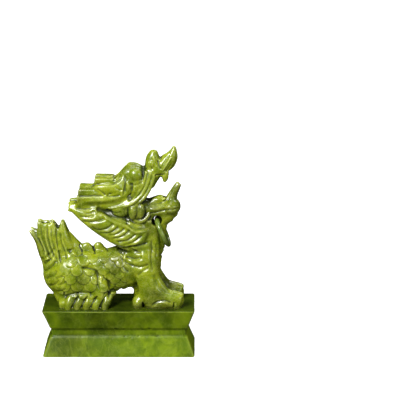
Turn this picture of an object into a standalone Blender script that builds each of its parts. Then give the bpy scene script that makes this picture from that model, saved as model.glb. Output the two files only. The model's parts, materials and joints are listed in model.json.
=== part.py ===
"""A carved jade guardian beast on a stepped plinth, with a captive ring that swings under its chin.

Three stone pieces: the plinth, the beast that is seated on it, and the loose ring, which is threaded
through a hole in the web between the beast's chin and throat. The beast faces +X and is the same on
both sides of the XZ plane. The origin is the middle of the plinth's underside, and +Z is up.
Run it with: blender --background --python part.py
"""

import math

import bmesh
import bpy
from mathutils import Matrix, Vector

MM = 0.001

# Plinth: two sawn tiers that lean towards a recessed waist band.
PLINTH_LENGTH = 145.5 * MM
PLINTH_DEPTH = 58.0 * MM
FOOT_TIER_HEIGHT = 18.2 * MM
WAIST_HEIGHT = 8.0 * MM
TOP_TIER_HEIGHT = 19.5 * MM
TIER_LEAN = 7.0 * MM
WAIST_RECESS = 1.4 * MM
PLINTH_CORNER = 2.5 * MM
PLINTH_EDGE_WEAR = 0.6 * MM
PLINTH_HEIGHT = FOOT_TIER_HEIGHT + WAIST_HEIGHT + TOP_TIER_HEIGHT

# Beast: drawn in millimetres above its own soles, then stretched to stand within these margins.
DRAWN_TOE = 62.2
DRAWN_HEEL = -60.0
DRAWN_WIDTH = 45.6
DRAWN_HEIGHT = 154.0
TOE_MARGIN = 9.9 * MM
HEEL_MARGIN = 13.4 * MM
SIDE_MARGIN = 6.2 * MM
BEAST_HEIGHT = 154.0 * MM
SEAT_GAP = 0.3 * MM
STRETCH_X = (PLINTH_LENGTH - TOE_MARGIN - HEEL_MARGIN) / (DRAWN_TOE - DRAWN_HEEL)
STRETCH_Y = (PLINTH_DEPTH - 2 * SIDE_MARGIN) / DRAWN_WIDTH
STRETCH_Z = BEAST_HEIGHT / DRAWN_HEIGHT

# Ring: a plain round ring that hangs from the hole and leans on the breast.
RING_WIRE = 4.8 * MM
RING_BORE = 22.6 * MM
RING_PLAY = 0.9 * MM
RING_LEAN = 24.0
RING_LIFT = 50.0
HOLE_PLAY = 2.6 * MM
HOLE_X = 35.8
HOLE_Z = 82.8

# Finish of the sculpted surface, and how finely it is cut.
GRAIN = 1.0 * MM
SOFTENING_ROUNDS = 3
KEPT_SHARE = 0.075
THINNEST = 0.3
LOFT_SIDES = 14
LOFT_STEPS = 4
RING_SIDES = 14
RING_STEPS = 44
SWEEP_STEP = 5.0


def clear_scene():
    for obj in list(bpy.data.objects):
        bpy.data.objects.remove(obj)


def jade(name, colour, roughness):
    material = bpy.data.materials.new(name)
    material.use_nodes = True
    shader = material.node_tree.nodes["Principled BSDF"]
    shader.inputs["Base Color"].default_value = (*colour, 1.0)
    shader.inputs["Roughness"].default_value = roughness
    shader.inputs["Metallic"].default_value = 0.0
    return material


def new_object(name, bm, material=None):
    bmesh.ops.recalc_face_normals(bm, faces=bm.faces)
    mesh = bpy.data.meshes.new(name)
    bm.to_mesh(mesh)
    bm.free()
    obj = bpy.data.objects.new(name, mesh)
    bpy.context.scene.collection.objects.link(obj)
    if material:
        mesh.materials.append(material)
    return obj


def hide_as_cutter(obj):
    obj.hide_render = True
    obj.display_type = "WIRE"


def cut(obj, cutter):
    modifier = obj.modifiers.new("cut_" + cutter.name, "BOOLEAN")
    modifier.operation = "DIFFERENCE"
    modifier.object = cutter


# ---------------------------------------------------------------- plinth


def plinth_section(bm, inset, height):
    """One rounded rectangle of the plinth, as a closed ring of vertices."""
    half_x = PLINTH_LENGTH / 2 - inset
    half_y = PLINTH_DEPTH / 2 - inset
    corner_steps = 3
    ring = []
    for quarter in range(4):
        sign_x = (1, -1, -1, 1)[quarter]
        sign_y = (1, 1, -1, -1)[quarter]
        for step in range(corner_steps + 1):
            angle = math.radians(90 * (quarter + step / corner_steps))
            x = sign_x * (half_x - PLINTH_CORNER) + PLINTH_CORNER * math.cos(angle)
            y = sign_y * (half_y - PLINTH_CORNER) + PLINTH_CORNER * math.sin(angle)
            ring.append(bm.verts.new((x, y, height)))
    return ring


def make_plinth(material):
    sections = [
        (0.0, 0.0),
        (TIER_LEAN, FOOT_TIER_HEIGHT),
        (TIER_LEAN + WAIST_RECESS, FOOT_TIER_HEIGHT + WAIST_RECESS / 2),
        (TIER_LEAN + WAIST_RECESS, FOOT_TIER_HEIGHT + WAIST_HEIGHT),
        (TIER_LEAN, FOOT_TIER_HEIGHT + WAIST_HEIGHT),
        (0.0, PLINTH_HEIGHT),
    ]
    bm = bmesh.new()
    rings = [plinth_section(bm, inset, height) for inset, height in sections]
    bm.faces.new(rings[0])
    bm.faces.new(rings[-1])
    for low, high in zip(rings, rings[1:]):
        count = len(low)
        for i in range(count):
            j = (i + 1) % count
            bm.faces.new((low[i], low[j], high[j], high[i]))
    obj = new_object("plinth", bm, material)
    wear = obj.modifiers.new("edge_wear", "BEVEL")
    wear.width = PLINTH_EDGE_WEAR
    wear.segments = 2
    wear.limit_method = "ANGLE"
    wear.angle_limit = math.radians(25)
    return obj


# ---------------------------------------------------------------- beast


def beast_point(x, y, z):
    """A point of the drawing, in millimetres above the soles, as a place on the plinth."""
    toe = PLINTH_LENGTH / 2 - TOE_MARGIN
    sole = PLINTH_HEIGHT + SEAT_GAP
    return Vector((toe + (x - DRAWN_TOE) * STRETCH_X, y * STRETCH_Y, sole + z * STRETCH_Z))


def smooth_stations(stations, steps=LOFT_STEPS):
    """More stations along a Catmull-Rom curve through the drawn ones."""
    if len(stations) < 3:
        return stations
    padded = [stations[0], *stations, stations[-1]]
    found = []
    for i in range(1, len(padded) - 2):
        a, b, c, d = padded[i - 1 : i + 3]
        for step in range(steps):
            t = step / steps
            found.append(
                tuple(
                    0.5
                    * (
                        2 * q
                        + (r - p) * t
                        + (2 * p - 5 * q + 4 * r - s) * t**2
                        + (3 * q - p - 3 * r + s) * t**3
                    )
                    for p, q, r, s in zip(a, b, c, d)
                )
            )
    return [*found, stations[-1]]


def loft(bm, stations, side=1):
    """A closed limb through stations of (x, y, z, half height in the XZ plane, half width in Y)."""
    line = smooth_stations(stations)
    rings = []
    for i, (x, y, z, high, wide) in enumerate(line):
        before = line[max(i - 1, 0)]
        after = line[min(i + 1, len(line) - 1)]
        along = Vector((after[0] - before[0], 0, after[2] - before[2])).normalized()
        across = Vector((-along.z, 0, along.x))
        ring = []
        for k in range(LOFT_SIDES):
            angle = 2 * math.pi * k / LOFT_SIDES
            point = (
                Vector((x, y, z))
                + across * max(high, THINNEST) * math.cos(angle)
                + Vector((0, 1, 0)) * max(wide, THINNEST) * math.sin(angle)
            )
            ring.append(bm.verts.new(beast_point(point.x, side * point.y, point.z)))
        rings.append(ring)
    edges = []
    for ring in rings:
        edges.append(
            [bm.edges.new((ring[k], ring[(k + 1) % LOFT_SIDES])) for k in range(LOFT_SIDES)]
        )
    for low, high in zip(edges, edges[1:]):
        bmesh.ops.bridge_loops(bm, edges=low + high)
    bm.faces.new(rings[0])
    bm.faces.new(rings[-1])


def ball(bm, x, y, z, long, wide, high, tilt=0.0, side=1):
    """A rounded mass with half sizes along X, Y and Z, leaning by tilt degrees towards +X."""
    made = bmesh.ops.create_icosphere(bm, subdivisions=3, radius=1.0)["verts"]
    turn = Matrix.Rotation(math.radians(tilt), 3, "Y")
    for vert in made:
        local = turn @ Vector((vert.co.x * long, vert.co.y * wide, vert.co.z * high))
        vert.co = beast_point(x + local.x, side * (y + local.y), z + local.z)


def both(make, bm, *drawn, **options):
    """The same form on the near and the far side."""
    for side in (-1, 1):
        make(bm, *drawn, side=side, **options)


def add_trunk(bm):
    loft(
        bm,
        [
            (-60, 0, 26, 12, 11),
            (-47, 0, 31, 20, 16),
            (-28, 0, 32.5, 21, 17.5),
            (-8, 0, 32.5, 22.5, 17),
            (8, 0, 37, 22, 17),
            (24, 0, 45, 18, 16),
            (36, 0, 47, 8, 11),
        ],
    )
    loft(
        bm,
        [
            (22, 0, 44, 19, 16),
            (22, 0, 58, 19, 16),
            (20, 0, 72, 18, 14),
            (16, 0, 88, 16, 13),
            (13, 0, 104, 14, 12),
        ],
    )
    # The web from chin to breast, which the hole pierces.
    loft(bm, [(38, 0, 92, 12, 6), (37, 0, 80, 9.5, 6), (35, 0, 66, 9.5, 7), (34, 0, 52, 9.5, 9)])
    both(loft, bm, [(28, 8, 84, 7, 5), (32, 8.5, 66, 6, 4), (33, 9, 50, 6, 5)])


def add_hind_legs(bm):
    both(ball, bm, -44, 9, 28, 22, 12.5, 22)
    both(ball, bm, -30, 10, 24, 14, 11, 19)
    both(loft, bm, [(-28, 14, 26, 10, 7.5), (-19, 14.5, 20, 9, 7.5), (-15, 15, 7, 7.5, 7)])
    both(
        loft,
        bm,
        [(-58, 14, 3, 5, 6), (-48, 15, 3, 7, 7), (-30, 15, 2.5, 7.5, 7.5), (-17, 15, 2, 8.5, 7), (-11, 15, 1, 6, 5)],
    )
    # Rump, solid down to the plinth.
    loft(bm, [(-60, 0, 3, 7, 9), (-48, 0, 10, 14, 15), (-26, 0, 12, 14, 15), (-16, 0, 12, 9, 13)])


def add_front_legs(bm):
    both(ball, bm, 24, 8, 42, 16, 12.5, 19, tilt=-12)
    both(
        loft,
        bm,
        [(24, 12, 44, 14, 8), (27, 13, 30, 12, 8), (29, 13.5, 18, 11, 8), (31, 14, 5, 12, 8)],
    )
    both(
        loft,
        bm,
        [(28, 14, 7, 8, 7.5), (40, 14.5, 7, 8, 8), (52, 14.5, 7, 9, 8.5), (59.5, 14, 5, 9.5, 7.5)],
    )
    both(loft, bm, [(30, 13, 26, 10, 7), (42, 14, 13, 7, 7), (54, 14.5, 10, 6, 6)])
    both(ball, bm, 17.5, 13.5, 5, 6, 7.5, 7)
    # The stone left between the legs and between the paws.
    loft(bm, [(20, 0, 34, 9, 10), (27, 0, 22, 12, 10), (42, 0, 5, 7, 9), (56, 0, 3, 7, 9)])
    loft(bm, [(21, 0, 30, 8, 10), (21, 0, 16, 8, 10), (21, 0, -4, 8, 10)])


def add_tail(bm):
    loft(
        bm,
        [
            (-54, 0, 12, 8, 10),
            (-59.5, 0, 24, 13, 12),
            (-60.5, 0, 40, 14, 12),
            (-62, 0, 54, 16.5, 11.5),
            (-62.5, 0, 66, 15.5, 9.5),
            (-63, 0, 74, 11, 7),
        ],
    )
    both(loft, bm, [(-68, 4, 50, 9, 7), (-74, 5, 62, 6.5, 5), (-80, 6, 68.5, 3, 3.5), (-85, 6, 72.5, 1, 1.5)])
    both(loft, bm, [(-66, 4, 56, 8, 7), (-71, 5, 70, 7, 5), (-76, 5, 81.5, 1.5, 2)])
    both(loft, bm, [(-62, 4, 56, 8, 7), (-66, 5, 70, 7, 5), (-69.5, 5, 80, 2, 2)])
    both(loft, bm, [(-60, 4, 56, 7, 7), (-62, 5, 70, 6.5, 5), (-63.5, 5, 81.5, 1.2, 1.5)])
    both(loft, bm, [(-50, 4, 54, 9, 7), (-53, 5, 68, 6, 5), (-53.5, 4, 82, 1.2, 1.5)])
    loft(bm, [(-38, 0, 48, 9, 8), (-46, 0, 58, 8, 7), (-52, 0, 68, 6, 5)])


def add_fins(bm):
    loft(bm, [(-18, 0, 48, 6.5, 4), (-19.5, 0, 55, 5.5, 3.5), (-20, 0, 59, 3, 2.5)])
    loft(bm, [(-29, 0, 48, 6.5, 4), (-31, 0, 55, 5.5, 3.5), (-32.5, 0, 59, 3, 2.5)])


def add_mane(bm):
    # The wing-like lower mane, one plate on each side.
    both(
        loft,
        bm,
        [
            (24, 9, 64, 14, 8),
            (14, 11, 68, 15, 9),
            (2, 12, 73, 14, 8.5),
            (-14, 12.5, 80.5, 11.3, 7.5),
            (-30, 12, 88.5, 7.5, 6),
            (-47, 11, 97.5, 1.5, 2),
        ],
    )
    loft(bm, [(14, 0, 80, 20, 12), (-4, 0, 86, 17, 12), (-20, 0, 92, 12, 11), (-38, 0, 99, 4, 9)])
    # Stacked locks with blunt ends behind the brow.
    both(loft, bm, [(10, 9, 102, 12, 6.5), (-12, 10, 103, 8.5, 6), (-38.5, 10, 101, 5, 5)])
    both(loft, bm, [(6, 8, 112, 10, 6.5), (-14, 8.5, 110, 7, 6), (-37, 8.5, 109, 4.5, 4.5)])
    both(loft, bm, [(8, 6, 118, 10, 6.5), (-4, 6.5, 118, 7, 5.5), (-22, 6.5, 120, 4.4, 4.5)])
    loft(bm, [(10, 0, 108, 15, 9), (-8, 0, 108, 11, 9), (-28, 0, 106, 7, 8)])
    both(loft, bm, [(-20, 12, 96, 6, 4.5), (-34, 11, 97.5, 4, 3.5), (-47, 10, 99.5, 1, 1.5)])


def add_head(bm):
    # Brow, eyes and upper jaw.
    ball(bm, 13, 0, 122, 15, 12, 15.5)
    ball(bm, 5, 0, 117, 14, 11, 13)
    both(ball, bm, 17, 8, 118, 8, 5.5, 9)
    loft(
        bm,
        [
            (14, 0, 102, 12, 13),
            (21, 0, 113, 11, 12),
            (28.5, 0, 124, 9.5, 10),
            (35, 0, 131, 8.5, 8.5),
            (45, 0, 137, 7.5, 7.5),
            (50, 0, 144, 6, 6),
            (52, 0, 150, 3, 3.5),
            (52, 0, 154, 1.2, 1.5),
        ],
    )
    loft(bm, [(31, 0, 130, 7, 8), (32.5, 0, 142, 6.8, 6.5), (34, 0, 149.5, 3, 3)])
    both(loft, bm, [(43, 5, 130, 4.5, 2.6), (44, 5, 124, 3.4, 2.2), (43, 5, 119, 1, 1)])
    # Cheeks and lower jaw, with the tongue's tip curling up in front.
    both(ball, bm, 16, 3, 94, 13, 13, 14)
    loft(
        bm,
        [(14, 0, 90, 13, 13), (28, 0, 92, 10.5, 11), (40, 0, 93, 9.5, 9.5), (49, 0, 92.5, 9.8, 8.5), (56, 0, 92.5, 7, 5)],
    )
    loft(bm, [(40, 0, 84, 8, 8), (50, 0, 87, 6.5, 7)])
    loft(bm, [(48.5, 0, 98, 7.5, 6.5), (51, 0, 107, 4.5, 4.5), (54, 0, 114, 3, 3), (56, 0, 119, 1.5, 1.5)])
    loft(bm, [(26, 0, 95, 5, 7), (34, 0, 101.5, 4, 6), (42, 0, 102.5, 4, 5)])


def hinge_point():
    return beast_point(HOLE_X, 0, HOLE_Z)


def add_ring(bm, lean, wire_radius):
    """A ring of this wire that hangs from the hinge at this lean. Its own plane holds the Y axis."""
    before = set(bm.verts)
    centre_radius = (RING_BORE + RING_WIRE) / 2
    wire = bmesh.ops.create_circle(
        bm,
        segments=RING_SIDES,
        radius=wire_radius,
        matrix=Matrix.Translation((centre_radius, 0, 0)) @ Matrix.Rotation(math.pi / 2, 4, "X"),
    )["verts"]
    edges = list({edge for vert in wire for edge in vert.link_edges})
    bmesh.ops.spin(
        bm,
        geom=wire + edges,
        axis=(0, 0, 1),
        angle=2 * math.pi,
        steps=RING_STEPS,
        use_merge=True,
    )
    turn = Matrix.Rotation(math.radians(90 - lean), 4, "Y")
    place = Matrix.Translation(hinge_point()) @ turn @ Matrix.Translation((centre_radius, 0, 0))
    bmesh.ops.transform(bm, matrix=place, verts=[vert for vert in bm.verts if vert not in before])


def make_ring_sweep():
    """Everything that the ring passes through between leaning on the breast and fully lifted."""
    bm = bmesh.new()
    count = math.ceil(RING_LIFT / SWEEP_STEP)
    for i in range(count + 1):
        add_ring(bm, RING_LEAN + RING_LIFT * i / count, RING_WIRE / 2 + RING_PLAY)
    obj = new_object("ring_sweep", bm)
    fuse = obj.modifiers.new("fuse", "REMESH")
    fuse.mode = "VOXEL"
    fuse.voxel_size = GRAIN
    thin = obj.modifiers.new("thin", "DECIMATE")
    thin.ratio = 0.3
    hide_as_cutter(obj)
    return obj


def make_ring_hole():
    """The round hole that is drilled across the web for the ring."""
    bm = bmesh.new()
    bmesh.ops.create_cone(
        bm,
        cap_ends=True,
        segments=24,
        radius1=RING_WIRE / 2 + HOLE_PLAY,
        radius2=RING_WIRE / 2 + HOLE_PLAY,
        depth=PLINTH_DEPTH,
        matrix=Matrix.Translation(hinge_point()) @ Matrix.Rotation(math.pi / 2, 4, "X"),
    )
    obj = new_object("ring_hole", bm)
    hide_as_cutter(obj)
    return obj


def make_sole_cutter():
    """A block that fills everything below the plane of the soles."""
    bm = bmesh.new()
    bmesh.ops.create_cube(bm, size=1.0)
    top = PLINTH_HEIGHT + SEAT_GAP
    size = Vector((2 * PLINTH_LENGTH, 2 * PLINTH_DEPTH, top))
    place = Matrix.Translation((0, 0, top / 2)) @ Matrix.Diagonal((*size, 1))
    bmesh.ops.transform(bm, matrix=place, verts=bm.verts)
    obj = new_object("sole_plane", bm)
    hide_as_cutter(obj)
    return obj


def make_beast(material):
    bm = bmesh.new()
    for add in (add_trunk, add_hind_legs, add_front_legs, add_tail, add_fins, add_mane, add_head):
        add(bm)
    obj = new_object("beast", bm, material)
    fuse = obj.modifiers.new("fuse_masses", "REMESH")
    fuse.mode = "VOXEL"
    fuse.voxel_size = GRAIN
    soften = obj.modifiers.new("soften", "SMOOTH")
    soften.iterations = SOFTENING_ROUNDS
    thin = obj.modifiers.new("thin", "DECIMATE")
    thin.ratio = KEPT_SHARE
    cut(obj, make_sole_cutter())
    cut(obj, make_ring_hole())
    cut(obj, make_ring_sweep())
    return obj


# ---------------------------------------------------------------- ring


def make_ring(material):
    """The ring's object has its origin on the hinge, and hangs from an empty that turns about Y."""
    bm = bmesh.new()
    add_ring(bm, RING_LEAN, RING_WIRE / 2)
    bmesh.ops.translate(bm, verts=bm.verts, vec=-hinge_point())
    pivot = bpy.data.objects.new("ring_pivot", None)
    pivot.location = hinge_point()
    bpy.context.scene.collection.objects.link(pivot)
    obj = new_object("chin_ring", bm, material)
    obj.parent = pivot
    obj.data.shade_smooth()
    return obj


def main():
    clear_scene()
    make_plinth(jade("jade_plinth", (0.135, 0.235, 0.018), 0.28))
    make_beast(jade("jade_beast", (0.24, 0.33, 0.03), 0.2))
    make_ring(jade("jade_ring", (0.2, 0.29, 0.05), 0.16))
    bpy.context.view_layer.update()


main()
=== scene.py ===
"""A carved jade guardian beast on a stepped plinth, with a loose stone ring under its chin.

The stone pieces are made one after the other in metres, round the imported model: plinth, beast and ring.
The floor, the lights and the camera follow at the end.
"""
import json
import math

import bmesh
import bpy
import numpy as np
from mathutils import Matrix, Vector, noise
from mathutils.bvhtree import BVHTree
from mathutils.kdtree import KDTree


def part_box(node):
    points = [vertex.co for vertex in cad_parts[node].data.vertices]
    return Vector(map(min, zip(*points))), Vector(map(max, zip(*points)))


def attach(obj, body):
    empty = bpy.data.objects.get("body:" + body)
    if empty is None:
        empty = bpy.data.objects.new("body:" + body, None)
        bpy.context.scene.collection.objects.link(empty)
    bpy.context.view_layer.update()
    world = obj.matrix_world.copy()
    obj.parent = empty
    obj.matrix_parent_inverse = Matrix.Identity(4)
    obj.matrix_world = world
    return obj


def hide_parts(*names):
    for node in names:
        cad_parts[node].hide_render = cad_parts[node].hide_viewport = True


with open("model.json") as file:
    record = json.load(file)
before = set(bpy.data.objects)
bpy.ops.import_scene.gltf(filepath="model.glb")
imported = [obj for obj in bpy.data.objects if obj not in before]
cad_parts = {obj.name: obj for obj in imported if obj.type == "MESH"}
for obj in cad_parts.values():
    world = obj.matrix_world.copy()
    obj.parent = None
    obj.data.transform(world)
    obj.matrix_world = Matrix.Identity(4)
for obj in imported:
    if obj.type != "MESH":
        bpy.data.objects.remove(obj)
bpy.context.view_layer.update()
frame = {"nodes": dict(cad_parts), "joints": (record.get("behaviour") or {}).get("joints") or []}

# ---------------------------------------------------------------------------------------------------------
# Plinth: a sawn block of cloudy green jade, ground into two tiers that lean in to a sunk waist band, then
# polished by hand, so that its faces are faintly wavy and its rims worn. The beast is seated on its top.

MM = 0.001
plinth_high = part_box("plinth")[1]
TIER_LEAN = 7.0 * MM
WAIST_RECESS = 1.4 * MM
WAIST_LOW = 18.2 * MM
WAIST_HIGH = 26.2 * MM
CORNER_ROUND = 2.5 * MM
PLINTH_GRAIN = 0.68 * MM
PLINTH_POLISH = 8
RIM_REACH = 1.2
TOP_SHADE = 0.8
MOST_TRIANGLES = 190000


def coordinates(mesh):
    """The mesh's vertex positions, one row for each."""
    flat = np.empty(len(mesh.vertices) * 3, np.float32)
    mesh.vertices.foreach_get("co", flat)
    return flat.reshape(-1, 3).astype(float)


def place_coordinates(mesh, points):
    mesh.vertices.foreach_set("co", points.astype(np.float32).ravel())
    mesh.update()


def outward(mesh):
    """The mesh's vertex normals, one row for each."""
    flat = np.empty(len(mesh.vertices) * 3, np.float32)
    mesh.vertex_normals.foreach_get("vector", flat)
    return flat.reshape(-1, 3).astype(float)


def eased(value, low, high):
    """0 up to low, 1 from high, and a smooth step between."""
    share = np.clip((value - low) / (high - low), 0, 1)
    return share * share * (3 - 2 * share)


def unevenness(points, size, shift=0.0):
    """Smooth noise from -1 to 1 at each point, with swells of about this size."""
    start = Vector((shift, 1.7 * shift, 0.3 * shift))
    return np.array([noise.noise(Vector(point) / size + start) for point in points])


def stone_object(name, bm):
    """The bmesh as a smoothly shaded object at the origin."""
    mesh = bpy.data.meshes.new(name)
    bm.to_mesh(mesh)
    bm.free()
    mesh.shade_smooth()
    obj = bpy.data.objects.new(name, mesh)
    bpy.context.scene.collection.objects.link(obj)
    return obj


def store_relief_and_shade(mesh, relief, painted_shade):
    """Keeps for the jade how far each vertex stands proud, in mm, and how hemmed in it is, 0 to 1."""
    # From these the jade paints shade in cuts and nooks and a highlight on ridges.
    for name, values in (("relief", relief), ("painted_shade", painted_shade)):
        mesh.attributes.new(name, "FLOAT", "POINT").data.foreach_set("value", values.astype(np.float32))


class Shade:
    """One shader socket. Operators on it add Math nodes, and mixed() mixes two colours by it."""

    def __init__(self, tree, socket=None):
        self.tree = tree
        self.socket = socket

    def node(self, kind, settings=None, output=0, **inputs):
        """Adds a node: its settings first, then its sockets' values or links, by name or as _index."""
        made = self.tree.nodes.new("ShaderNode" + kind)
        for key, value in (settings or {}).items():
            setattr(made, key, value)
        for key, value in inputs.items():
            socket = made.inputs[int(key[1:])] if key[0] == "_" else made.inputs[key.replace("_", " ")]
            if isinstance(value, Shade):
                self.tree.links.new(value.socket, socket)
            else:
                socket.default_value = value
        return Shade(self.tree, made.outputs[output])

    def maths(self, operation, *values):
        return self.node("Math", {"operation": operation}, **{f"_{i}": v for i, v in enumerate(values)})

    def __add__(self, other):
        return self.maths("ADD", self, other)

    def __sub__(self, other):
        return self.maths("SUBTRACT", self, other)

    def __rsub__(self, other):
        return self.maths("SUBTRACT", other, self)

    def __mul__(self, other):
        return self.maths("MULTIPLY", self, other)

    def __abs__(self):
        return self.maths("ABSOLUTE", self)

    __radd__ = __add__
    __rmul__ = __mul__

    def eased(self, low, high):
        """0 up to low, 1 from high, and a smooth step between."""
        return self.node(
            "MapRange", {"interpolation_type": "SMOOTHSTEP"}, Value=self, From_Min=low, From_Max=high
        )

    def mixed(self, first, second):
        """The first colour where this is 0, and the second where it is 1."""
        return self.node("Mix", {"data_type": "RGBA"}, output=2, _0=self, _6=first, _7=second)


def seen(red, green, blue):
    """A colour as the eye names it, from 0 to 255, turned into the light that a shader works with."""
    return (*(((part / 255 + 0.055) / 1.055) ** 2.4 for part in (red, green, blue)), 1.0)


def jade(name, deep, body, light, pale, cloud, streak, roughness, gloss):
    """Polished jade: clouds and pale veins in the stone.

    It paints shade in the cuts and nooks, and a highlight together with wear on the ridges.
    """
    material = bpy.data.materials.new(name)
    material.use_nodes = True
    shader = material.node_tree.nodes["Principled BSDF"]
    start = Shade(material.node_tree)
    place = start.node("TexCoord", output=3)
    long_grain = start.node("Mapping", Vector=place, Rotation=(0.3, 0.5, 0.2), Scale=(1.0, 1.0, streak))
    drift = start.node("TexNoise", Vector=place, Scale=0.4 / cloud, Detail=2.0)
    clouds = start.node(
        "TexNoise", Vector=long_grain, Scale=1 / cloud, Detail=5.0, Roughness=0.55, Distortion=0.9
    )
    veins = start.node(
        "TexNoise", Vector=long_grain, Scale=0.7 / cloud, Detail=6.0, Roughness=0.62, Distortion=2.0
    )
    flecks = start.node("TexNoise", Vector=place, Scale=620.0, Detail=3.0, Roughness=0.6)
    relief = start.node("Attribute", {"attribute_name": "relief"}, output=2)
    painted_shade = start.node("Attribute", {"attribute_name": "painted_shade"}, output=2)
    # Painted shade darkens the cuts, and a painted highlight together with wear lightens the ridges.
    cut = (relief * -1).eased(0.03, 0.5)
    ridge = relief.eased(0.08, 0.55)
    tone = clouds.eased(0.36, 0.66).mixed(body, light)
    tone = ((1 - drift).eased(0.42, 0.66) * 0.6).mixed(tone, deep)
    tone = ((1 - abs(veins - 0.5).eased(0.0, 0.05)) * 0.12).mixed(tone, pale)
    tone = (flecks.eased(0.52, 0.75) * 0.12).mixed(tone, pale)
    tone = (ridge * 0.45).mixed(tone, pale)
    # Painted shade: nooks hemmed in by stone are darkened towards the deep colour.
    tone = (painted_shade.eased(0.25, 0.95) * 0.85).mixed(tone, deep)
    tone = (cut * 0.75).mixed(tone, deep)
    start.tree.links.new(tone.socket, shader.inputs["Base Color"])
    dull = roughness + cut * 0.2 + (flecks - 0.5) * 0.14
    start.tree.links.new(dull.socket, shader.inputs["Roughness"])
    polish = start.node("TexNoise", Vector=place, Scale=330.0, Detail=4.0, Roughness=0.6)
    swell = start.node("TexNoise", Vector=place, Scale=110.0, Detail=2.0)
    bump = start.node("Bump", Strength=0.5, Distance=0.0004, Height=polish * 0.35 + swell * 0.65)
    start.tree.links.new(bump.socket, shader.inputs["Normal"])
    shader.inputs["IOR"].default_value = 1.6
    shader.inputs["Specular IOR Level"].default_value = gloss
    shader.inputs["Subsurface Weight"].default_value = 0.22
    shader.inputs["Subsurface Radius"].default_value = (0.7, 1.0, 0.15)
    shader.inputs["Subsurface Scale"].default_value = 3.0 * MM
    return material


def finish_stone(obj, body, node, material):
    """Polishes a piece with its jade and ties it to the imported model."""
    obj.data.materials.append(material)
    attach(obj, body)
    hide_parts(node)


def sawn_plinth():
    """The block, built up tier by tier from its underside, with rounded uprights."""
    bm = bmesh.new()
    bmesh.ops.create_grid(bm, x_segments=1, y_segments=1, size=1.0)
    bmesh.ops.scale(bm, vec=(plinth_high.x, plinth_high.y, 1), verts=bm.verts)
    bmesh.ops.bevel(
        bm, geom=bm.verts[:], offset=CORNER_ROUND, affect="VERTICES", segments=5, profile=0.5, material=-1
    )
    face = bm.faces[:][0]
    tiers = (
        (TIER_LEAN, WAIST_LOW),
        (WAIST_RECESS, WAIST_LOW + WAIST_RECESS / 2),
        (0.0, WAIST_HIGH),
        (-WAIST_RECESS, WAIST_HIGH),
        (-TIER_LEAN, plinth_high.z),
    )
    for step_in, height in tiers:
        made = bmesh.ops.extrude_face_region(bm, geom=[face])["geom"]
        face = next(part for part in made if isinstance(part, bmesh.types.BMFace))
        for vert in face.verts:
            vert.co.x -= step_in * math.copysign(1, vert.co.x)
            vert.co.y -= step_in * math.copysign(1, vert.co.y)
            vert.co.z = height
    bmesh.ops.recalc_face_normals(bm, faces=bm.faces)
    return stone_object("plinth_stone", bm)


def fused(obj, grain):
    """Makes one skin of everything in the object."""
    fuse = obj.modifiers.new("fuse", "REMESH")
    fuse.mode = "VOXEL"
    fuse.voxel_size = grain
    settle_modifiers(obj)


def settle_modifiers(obj):
    """Makes what the modifiers show the object's own mesh."""
    made = bpy.data.meshes.new_from_object(obj.evaluated_get(bpy.context.evaluated_depsgraph_get()))
    obj.modifiers.clear()
    rough, obj.data = obj.data, made
    bpy.data.meshes.remove(rough)
    made.name = obj.name
    made.shade_smooth()


def neighbours(mesh):
    """The two ends of every edge, and each vertex's number of neighbours."""
    edges = np.empty(len(mesh.edges) * 2, np.int32)
    mesh.edges.foreach_get("vertices", edges)
    a, b = edges.reshape(-1, 2).T
    count = np.bincount(a, minlength=len(mesh.vertices)) + np.bincount(b, minlength=len(mesh.vertices))
    return a, b, count


def averaged(values, a, b, count):
    """Each vertex's mean over its neighbours."""
    total = [
        np.bincount(a, column[b], len(values)) + np.bincount(b, column[a], len(values)) for column in values.T
    ]
    return np.stack(total, axis=1) / count[:, None]


def polished(points, links, rounds, back=0.0):
    """Smooths the points. With back, each round pushes out again by that share, which keeps the volume."""
    for _ in range(rounds):
        points = points + 0.5 * (averaged(points, *links) - points)
        if back:
            points = points - back * (averaged(points, *links) - points)
    return points


def nooks(points, way):
    """How much stone hems each vertex in from the front: 0 in the open, 1 in a deep nook."""
    cell = 1.2 * MM
    margin = 8
    low = points.min(0) - margin * cell
    spots = ((points - low) / cell).astype(int)
    crowd = np.zeros(spots.max(0) + margin)
    np.add.at(crowd, tuple(spots.T), 1.0)
    for axis in (0, 1, 2) * 3:
        crowd = sum(np.roll(crowd, shift, axis) for shift in (-2, -1, 0, 1, 2)) / 5
    ahead = ((points + way * 3.6 * MM - low) / cell).astype(int).clip(0, np.array(crowd.shape) - 1)
    near = crowd[tuple(ahead.T)]
    return eased(near / np.median(near), 1.0, 2.3)


def thinned(obj, links, most):
    """Brings the skin under this many triangles, keeping the relief and painted shade that the full skin had.
    """
    points = coordinates(obj.data)
    way = outward(obj.data)
    relief = np.einsum("ij,ij->i", points - polished(points, links, 26), way) / MM
    # Painted shade: the deeper a vertex sits in a nook, the darker the jade paints it.
    painted_shade = nooks(points, way)
    known = KDTree(len(points))
    for i, point in enumerate(points):
        known.insert(point, i)
    known.balance()
    thin = obj.modifiers.new("thin", "DECIMATE")
    thin.ratio = min(1.0, most / (2 * len(obj.data.polygons)))
    settle_modifiers(obj)
    nearest = [known.find(point)[1] for point in coordinates(obj.data)]
    store_relief_and_shade(obj.data, relief[nearest], painted_shade[nearest])


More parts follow.
